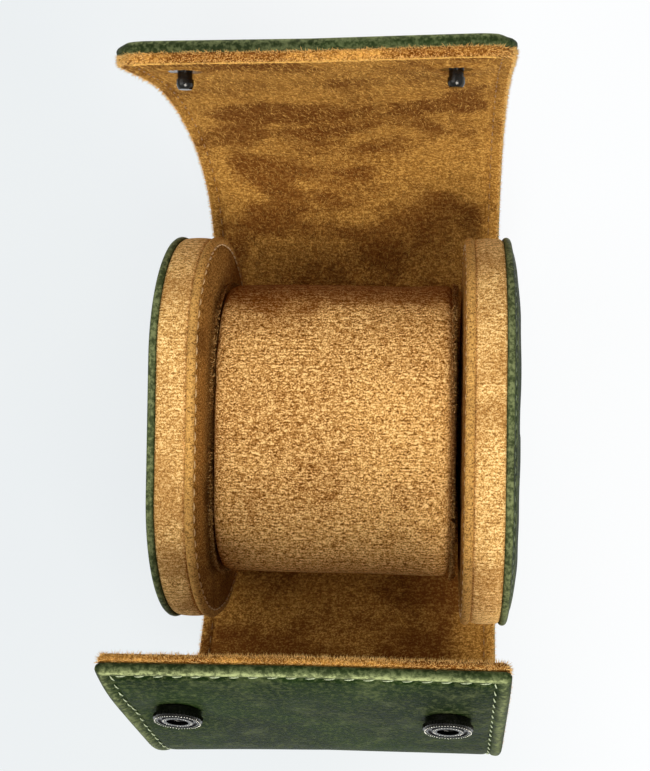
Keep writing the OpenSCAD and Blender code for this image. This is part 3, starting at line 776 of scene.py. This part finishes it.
# ---- the end panels ----
def oval_path(count):
    """Points round the oval's outline, evenly along it: (y, z, ny, nz), counted from the top middle."""
    hl, hh = END_L / 2 - OVAL_R, END_H / 2 - OVAL_R
    pieces = [("line", (0, hh + OVAL_R), (hl, hh + OVAL_R), (0, 1)), ("arc", (hl, hh), 90),
              ("line", (hl + OVAL_R, hh), (hl + OVAL_R, -hh), (1, 0)), ("arc", (hl, -hh), 0),
              ("line", (hl, -hh - OVAL_R), (-hl, -hh - OVAL_R), (0, -1)), ("arc", (-hl, -hh), -90),
              ("line", (-hl - OVAL_R, -hh), (-hl - OVAL_R, hh), (-1, 0)), ("arc", (-hl, hh), -180),
              ("line", (-hl, hh + OVAL_R), (0, hh + OVAL_R), (0, 1))]
    quarter = OVAL_R * math.pi / 2
    lengths = [quarter if p[0] == "arc" else math.dist(p[1], p[2]) for p in pieces]
    total = sum(lengths)
    out = []
    for i in range(count):
        s = total * i / count
        k = 0
        while s > lengths[k] and k < len(pieces) - 1:
            s -= lengths[k]
            k += 1
        p = pieces[k]
        if p[0] == "line":
            t = s / lengths[k] if lengths[k] else 0
            y, z = p[1][0] + (p[2][0] - p[1][0]) * t, p[1][1] + (p[2][1] - p[1][1]) * t
            ny, nz = p[3]
        else:
            q = math.radians(p[2]) - s / OVAL_R
            ny, nz = math.cos(q), math.sin(q)
            y, z = p[1][0] + OVAL_R * ny, p[1][1] + OVAL_R * nz
        out.append((y, z + WRAP_T + END_H / 2, ny, nz))
    return out, total


def end_point(sample, inset, out, side):
    """A place on an end panel: in from the oval's outline, and out from the face beside the cushion."""
    y, z, ny, nz = sample
    y, z = y - ny * inset, z - nz * inset
    lean = LEAN[side] * (z - WRAP_T) / END_H
    return Vector((side * (INNER_HALF + out + lean), y, z)) * MM


def oval_sweep(name, side, profile, mat, closed=True, wear=None):
    """Sweeps profile(u) -> [(inset, out), ...] round the oval, where u is the way round it."""
    path, total = oval_path(OVAL_STEPS)
    verts, faces, rubbed_and_lit = [], [], []
    for i, sample in enumerate(path):
        line = profile(total * i / OVAL_STEPS)
        n = len(line)
        for inset, out in line:
            verts.append(end_point(sample, inset, out, side))
            rubbed_and_lit.append(wear(inset) if wear else 0.0)
    for i in range(OVAL_STEPS):
        a, b = i * n, ((i + 1) % OVAL_STEPS) * n
        for j in range(n if closed else n - 1):
            k = (j + 1) % n
            faces.append((a + j, a + k, b + k, b + j))
    return make(name, verts, faces, mat, {"wear": rubbed_and_lit}, merge=2 * TINY)


DOME_INSETS = [1.6, 1.9, 2.2, 2.5, 2.8, 3.1, 3.5, 4.2, 5.2, 6.5, 8, 9.5, 11, 13, 15.5, 18, 20.5, 23, 25.5, 28,
               30, OVAL_R - 0.001]


def crown(d):
    """Height of an end panel's padded crown at an inset."""
    r = EDGE_T / 2
    return CROWN_H * math.sin(min(1.0, (d - r) / (CROWN_W - r)) * math.pi / 2)


def flat_middle(d):
    """Fades waves out toward the oval's middle line, where the two halves of the sweep meet."""
    return 1 - smooth((d - 20) / 10)


def cover_profile(seed):
    """The leather cover: its turned edge, like a piping, then the seam and the crown."""
    board_z, r = INNER_T + GUSSET_W, EDGE_T / 2
    turned = [(r - r * math.cos(math.radians(q)), board_z + r + r * math.sin(math.radians(q)))
              for q in (-75, -50, -25, 0, 25, 50, 75, 98)]

    def profile(u):
        line = [(3.2, board_z + 0.1), (1.6, board_z + 0.04)] + turned
        for d in DOME_INSETS:
            h = crown(d) + 0.25 * smooth((d - 10) / 20)
            pucker = 0.30 * bell(d, COVER_STITCH_AT, 0.55) * (0.8 + 0.3 * math.sin(2 * math.pi * u / OVAL_PITCH))
            y, z = math.cos(u * 0.05 + seed), math.sin(u * 0.05 + seed)
            wave = 0.22 * noise.noise(Vector((d * 0.1, y * 1.6, z * 1.6 + seed))) * smooth((d - 3) / 6)
            line.append((d, board_z + EDGE_T + h - pucker + wave * flat_middle(d)))
        return line
    return profile


def gusset_profile(u):
    """The suede band between the two faces, pulled in a little at its seams."""
    count = 12
    line = []
    for k in range(count + 1):
        t = k / count
        line.append((0.25 + 0.55 * (1 - math.sin(math.pi * t) ** 0.35), INNER_T - 0.05 + (GUSSET_W + 0.1) * t))
    return line + [(2.4, INNER_T + GUSSET_W + 0.05), (2.4, INNER_T - 0.05)]


FACE_INSETS = [1.0, 1.3, 1.6, 1.9, 2.2, 2.6, 3.2, 4.2, 5.6, 7.5, 10, 13, 16.5, 20, 24, 28, 30, OVAL_R - 0.001]


def inner_profile(seed):
    """The inner panel: from its seam against the gusset, round the bound edge, on to the face."""
    r = INNER_T / 2
    bound = [(r - r * 1.02 * math.cos(math.radians(q)), r + r * math.sin(math.radians(q)))
             for q in (72, 50, 28, 6, -16, -38, -60)]

    def profile(u):
        line = [(2.6, INNER_T - 0.02), (1.2, INNER_T - 0.02)] + bound
        for d in FACE_INSETS:
            sunk = 0.34 * bell(d, INNER_STITCH_AT, 0.5)
            puffed = 0.30 * smooth((d - 2.1) / 5) + 0.1 * smooth((d - 8) / 12)
            wave = 0.2 * noise.noise(Vector((d * 0.12, math.cos(u * 0.05) * 2, math.sin(u * 0.05) * 2 + seed)))
            line.append((d, 0.12 + sunk - puffed - wave * smooth((d - 3) / 6) * flat_middle(d)))
        return line
    return profile


def close_middle(obj):
    """Fills the slit left at the oval's middle line."""
    bm = bmesh.new()
    bm.from_mesh(obj.data)
    loose = [e for e in bm.edges if len(e.link_faces) == 1]
    bmesh.ops.remove_doubles(bm, verts=list({v for e in loose for v in e.verts}), dist=SLIT)
    bmesh.ops.holes_fill(bm, edges=[e for e in bm.edges if len(e.link_faces) == 1], sides=0)
    bmesh.ops.recalc_face_normals(bm, faces=bm.faces)
    bm.to_mesh(obj.data)
    bm.free()
    obj.data.polygons.foreach_set("use_smooth", [True] * len(obj.data.polygons))


def oval_stitches(side, inset, out, outward, length, radius, sink):
    """Stitches round an end panel. outward is 1 on its leather face and -1 on its inner face."""
    path, total = oval_path(PATH_STEPS)
    count = int(total / OVAL_PITCH)
    parts = []
    for k in range(count):
        i = int(PATH_STEPS * (k + 0.5) / count)
        a = end_point(path[i], inset, out, side)
        b = end_point(path[(i + 3) % PATH_STEPS], inset, out, side)
        d = (b - a).normalized()
        half_l = length / 2 * (0.92 + 0.15 * rng.random()) * MM
        parts.append(capsule(a - d * half_l, a + d * half_l, Vector((side * outward, 0, 0)), radius * MM,
                             sink * MM))
    return joined(parts)


# the cover's turned edge and the crown beside its seam are paler: rub, with a painted highlight along the piping
def cover_rub_and_highlight(d):
    return 0.4 * bell(d, 0.15, 0.3) + 0.2 * bell(d, 3.6, 0.8)


# the inner panel's bound edge is paler: rub, with a painted highlight on its lit ridge
def inner_rub_and_highlight(d):
    return 1.0 - smooth((d - 1.5) / 0.7)


cover_z = INNER_T + GUSSET_W + EDGE_T + crown(COVER_STITCH_AT)
for side, name in ((-1, "left"), (1, "right")):
    cover = oval_sweep(name + "_cover", side, cover_profile(1.0 + side), "leather", closed=False, wear=cover_rub_and_highlight)
    close_middle(cover)
    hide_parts(name + "_end_cover", name + "_end_padding")
    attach(cover, "base")
    gusset = oval_sweep(name + "_gusset", side, gusset_profile, "panel_suede")
    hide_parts(name + "_end_gusset", name + "_end_core")
    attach(gusset, "base")
    inner = oval_sweep(name + "_inner", side, inner_profile(4.0 + side), "inner_suede", closed=False,
                       wear=inner_rub_and_highlight)
    close_middle(inner)
    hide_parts(name + "_end_inner_panel")
    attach(inner, "base")
    sewn = make(name + "_cover_stitch",
                *oval_stitches(side, COVER_STITCH_AT, cover_z - 0.3, 1, 2.0, 0.15, 0.06), "cover_thread")
    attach(sewn, "base")
    sewn = make(name + "_inner_stitch",
                *oval_stitches(side, INNER_STITCH_AT, 0.40, -1, 2.1, 0.2, 0.02), "pale_thread")
    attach(sewn, "base")


# ---- the cushion ----
def signed_power(v, p):
    return math.copysign(abs(v) ** p, v)


def cushion_section(t, half_l, half_h):
    """A place on the cushion's oval section, which is fuller at its near end."""
    power = 2.8 + 0.9 * smooth(0.5 - math.cos(t))
    return half_l * signed_power(math.cos(t), 2 / power), half_h * signed_power(math.sin(t), 2 / power)


def cushion_mesh(shrink):
    """The sleeve over its core: a rounded oval seen from the side, with crisp edges at both ends."""
    half_w, edge_r = CUSHION_HALF_W - shrink, 2.0
    count, middles = 160, 24
    half_l, half_h = CUSHION_L / 2 - shrink, CUSHION_H / 2 - shrink
    turns = [math.radians(a) for a in (0, 18, 36, 54, 72, 90)]
    ends = [(-half_w + edge_r * (1 - math.cos(a)), edge_r * (1 - math.sin(a))) for a in turns]
    flat = half_w - edge_r
    stations = ends + [(-flat + 2 * flat * i / middles, 0.0) for i in range(1, middles)]
    stations += [(-x, inset) for x, inset in reversed(ends)]
    verts = []
    for x, inset in stations:
        for k in range(count):
            t = 2 * math.pi * k / count
            y, z = cushion_section(t, half_l - inset, half_h - inset)
            verts.append(Vector((x, y, CUSHION_Z + z)) * MM)
    return verts, tube_faces(len(stations), count)


def puff(obj, voxel, pressure, cap, frames):
    """Remeshes the piece and lets cloth under pressure round it out, with a capped move."""
    bpy.context.view_layer.objects.active = obj
    for o in bpy.context.selected_objects:
        o.select_set(False)
    obj.select_set(True)
    obj.data.remesh_voxel_size = voxel
    bpy.ops.object.voxel_remesh()
    rest = np.array([v.co for v in obj.data.vertices])
    cloth = obj.modifiers.new("cloth", "CLOTH")
    cs = cloth.settings
    cs.use_pressure = True
    cs.uniform_pressure_force = pressure
    cs.effector_weights.gravity = 0
    cs.quality = 6
    cs.tension_stiffness = 25
    cs.compression_stiffness = 20
    cs.bending_stiffness = 1.2
    cloth.point_cache.frame_start, cloth.point_cache.frame_end = 1, frames
    scene = bpy.context.scene
    for f in range(1, frames + 1):
        scene.frame_set(f)
    dg = bpy.context.evaluated_depsgraph_get()
    done = np.array([v.co for v in obj.evaluated_get(dg).data.vertices])
    obj.modifiers.remove(cloth)
    scene.frame_set(1)
    move = done - rest
    length = np.linalg.norm(move, axis=1, keepdims=True)
    move *= np.minimum(1.0, cap / np.maximum(length, 1e-9))
    obj.data.vertices.foreach_set("co", (rest + move).ravel())
    obj.data.update()


def settle(obj):
    """Brings the puffed piece to the cushion's own size and dents it where it has been handled."""
    places = np.array([v.co for v in obj.data.vertices])
    low, high = places.min(axis=0), places.max(axis=0)
    half = np.array((CUSHION_REACH, CUSHION_L / 2 + PROUD_L, CUSHION_H / 2)) * MM
    centre = np.array((CUSHION_MID, 0.0, CUSHION_Z)) * MM
    places = (places - (low + high) / 2) * (2 * half / (high - low)) + centre
    for i, spot in enumerate(places):
        x, y, z = spot / MM
        inward = centre - spot
        inward[0] = 0.0
        inward /= max(1e-9, float(np.linalg.norm(inward)))
        dent = 0.45 * noise.noise(Vector((x * 0.07, y * 0.07, z * 0.05)))
        dent += 0.12 * noise.noise(Vector((x * 0.35, y * 0.35, z * 0.35)))
        # the pressed corner at the near left
        dent += 1.1 * bell(x, -23, 3.2) * bell(y, -31, 3.0) * smooth((z - CUSHION_Z) / 10)
        dent = max(dent + 0.15, 0.0)
        places[i] = spot + inward * dent * MM
    obj.data.vertices.foreach_set("co", places.ravel())
    obj.data.update()


def cushion_fringe():
    """Nap that stands out from the cushion's two crisp edges."""
    parts = []
    for side in (-1, 1):
        for _ in range(CUSHION_NAP):
            t = 2 * math.pi * rng.random()
            inset = 1.1 * rng.random()
            y, z = cushion_section(t, CUSHION_L / 2 + PROUD_L - 0.6 * inset, CUSHION_H / 2 - 0.6 * inset)
            x = CUSHION_MID + side * (CUSHION_REACH - 1.45 + inset)
            root = Vector((x, y, CUSHION_Z + z)) * MM
            out = Vector((side * (0.15 + 0.8 * inset), 0, 0)) + Vector((0, y, z)).normalized() * (1.2 - 0.6 * inset)
            lean = Vector((rng.gauss(0, 0.4), rng.gauss(0, 0.4), rng.gauss(0, 0.4)))
            parts.append(fibre(root, out + lean, grown(CUSHION_NAP_L), CUSHION_NAP_R * MM))
    return joined(parts)


cushion = make("cushion", *cushion_mesh(0.9), "cushion_suede")
puff(cushion, voxel=0.0020, pressure=3.0, cap=0.0018, frames=20)
settle(cushion)
sub = cushion.modifiers.new("sub", "SUBSURF")
sub.levels = sub.render_levels = 1
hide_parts("cushion_cover", "cushion_core")
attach(cushion, "cushion")
nap = make("cushion_nap", *cushion_fringe(), "cushion_suede")
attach(nap, "cushion")

# ---- snaps and boards, which show the CAD solids themselves ----
for name, obj in nodes.items():
    kind = "metal" if name.startswith(("socket_", "stud_")) else "board" if name.endswith("_board") else None
    if kind:
        obj.data.materials.clear()
        obj.data.materials.append(MAT[kind])


def bead(centre, radius):
    """One ridge of the knurling."""
    bm = bmesh.new()
    bmesh.ops.create_icosphere(bm, subdivisions=1, radius=radius)
    verts = [v.co + centre for v in bm.verts]
    faces = [tuple(v.index for v in f.verts) for f in bm.faces]
    bm.free()
    return verts, faces


s_socket = near.length - SOCKET_EDGE
fwd, sideways = near.forward(s_socket), Vector((1, 0, 0))
beads = []
for x in (-SNAP_PITCH / 2, SNAP_PITCH / 2):
    c = near.point(s_socket, x, -LEATHER_T - SOCKET_H)
    # round the rim, and round the raised ring
    for r, count, size in ((4.75, 50, 0.14), (2.95, 30, 0.10)):
        for k in range(count):
            q = 2 * math.pi * k / count
            beads.append(bead(c + (fwd * math.cos(q) + sideways * math.sin(q)) * r * MM, size * MM))
# the knurling in the lighter metal, which paints its glints
dots = make("socket_beads", *joined(beads), "bright_metal")
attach(dots, "near_4")


# ---- floor, light and camera ----
def floor_material():
    """A pale sheet of paper that glows for the camera, so that it carries no hard shadow, and is darker toward the
    left and the near side, a painted falloff of the light.
    """
    m = Tree("floor")
    grain = m.noise(5)
    split = m.t.nodes.new("ShaderNodeSeparateXYZ")
    m.t.links.new(m.coord, split.inputs[0])
    # the paper is darker toward the left and the near side: a painted falloff of the light
    slant = m.math("ADD", split.outputs[0], m.math("MULTIPLY", split.outputs[1], 0.4))
    left_shade = m.mix(m.fit(grain, 0.3, 0.7), (0.825, 0.86, 0.88), (0.85, 0.88, 0.89))
    pale = m.mix(m.fit(slant, -0.07, 0.07), left_shade, (0.985, 0.995, 1.0))
    m.finish(m.mix(0.25, pale, (0.0, 0.0, 0.0)), 0.8)
    glow = m.t.nodes.new("ShaderNodeEmission")
    m.link(pale, glow.inputs[0])
    path = m.t.nodes.new("ShaderNodeLightPath")
    seen = m.math("MAXIMUM", path.outputs["Is Camera Ray"], path.outputs["Is Glossy Ray"])
    seen = m.math("MAXIMUM", seen, path.outputs["Is Transmission Ray"])
    both = m.t.nodes.new("ShaderNodeMixShader")
    m.link(m.math("MULTIPLY", seen, 0.9), both.inputs[0])
    m.t.links.new(m.bsdf.outputs[0], both.inputs[1])
    m.t.links.new(glow.outputs[0], both.inputs[2])
    m.t.links.new(both.outputs[0], m.out.inputs[0])
    return m.mat


FLOOR_HALF, FLOOR_Z = 3, -0.0003
mesh = bpy.data.meshes.new("floor")
mesh.from_pydata([(x * FLOOR_HALF, y * FLOOR_HALF, FLOOR_Z) for x, y in ((-1, -1), (1, -1), (1, 1), (-1, 1))],
                 [], [(0, 1, 2, 3)])
mesh.materials.append(floor_material())
floor = bpy.data.objects.new("floor", mesh)
bpy.context.scene.collection.objects.link(floor)

world = bpy.data.worlds.new("world")
world.use_nodes = True
sky = world.node_tree.nodes["Background"]
sky.inputs[0].default_value = (0.93, 0.96, 1.0, 1)
sky.inputs[1].default_value = 0.48
bpy.context.scene.world = world


def area(name, where, size, power, color):
    """A square lamp aimed at the middle of the case."""
    light = bpy.data.lights.new(name, "AREA")
    light.shape, light.size, light.size_y = "RECTANGLE", size, size
    light.energy, light.color = power, color
    obj = bpy.data.objects.new(name, light)
    obj.location = where
    obj.rotation_euler = (Vector((0, 0, 0.04)) - Vector(where)).to_track_quat("-Z", "Y").to_euler()
    bpy.context.scene.collection.objects.link(obj)


area("key", (0.20, -0.50, 0.88), 0.5, 10.0, (1.0, 0.985, 0.96))
area("fill", (-0.6, 0.1, 0.8), 0.8, 3.2, (0.95, 0.97, 1.0))

# the camera is fitted to the photo: its focal length and shift are in pixels of the photo
PHOTO_H, FOCAL_PX, SHIFT_PX, SENSOR = 771, 1150, -40, 36
cam_data = bpy.data.cameras.new("camera")
cam_data.sensor_fit = "AUTO"
cam_data.sensor_width = SENSOR
cam_data.lens = SENSOR * FOCAL_PX / PHOTO_H
cam_data.clip_start, cam_data.clip_end = 0.01, 20
camera = bpy.data.objects.new("camera", cam_data)
camera.location = (0.028928, 0.005176, 0.32528)
camera.rotation_euler = (0.02053, 0.07947, 0.01436)
cam_data.shift_x = SHIFT_PX / PHOTO_H
bpy.context.scene.collection.objects.link(camera)
bpy.context.scene.camera = camera
bpy.context.scene.view_settings.view_transform = "Standard"
